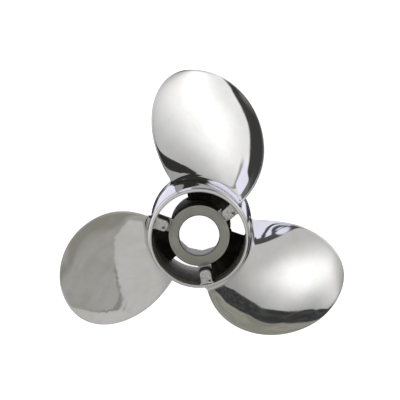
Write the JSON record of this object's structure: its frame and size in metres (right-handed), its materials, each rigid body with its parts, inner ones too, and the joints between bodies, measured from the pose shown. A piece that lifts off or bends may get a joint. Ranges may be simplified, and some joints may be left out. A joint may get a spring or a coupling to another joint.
{
  "type": "boat propeller with through-hub exhaust",
  "caption": "Polished stainless steel boat propeller with raked skewed blades on a barrel, an open inner hub on helical ribs and exhaust passages between them.",
  "frame": {"origin": "on the shaft axis, at the height of the centre of mass; the aft ring's rim is 63.7 mm below it and the front rim 64.3 mm above", "axes": "+Z along the shaft axis towards the front, gearcase end, so the propeller stands on its aft ring; the first blade's tip points close to +Y"},
  "size_m": [0.3067, 0.2818, 0.128],
  "materials": {
    "mirror_blade": "mirror-polished stainless steel",
    "polished_barrel": "polished stainless steel",
    "turned_hub": "satin stainless steel with turned rings on the front face",
    "cast_web": "stainless steel as cast, dull and slightly pitted"
  },
  "bodies": {
    "root": {"outer_barrel": "polished_barrel", "diffuser_ring": "polished_barrel", "inner_hub": "turned_hub", "rib_1": "cast_web", "rib_2": "cast_web", "rib_3": "cast_web", "blade_1": "mirror_blade", "blade_2": "mirror_blade", "blade_3": "mirror_blade"}
  },
  "joints": []
}
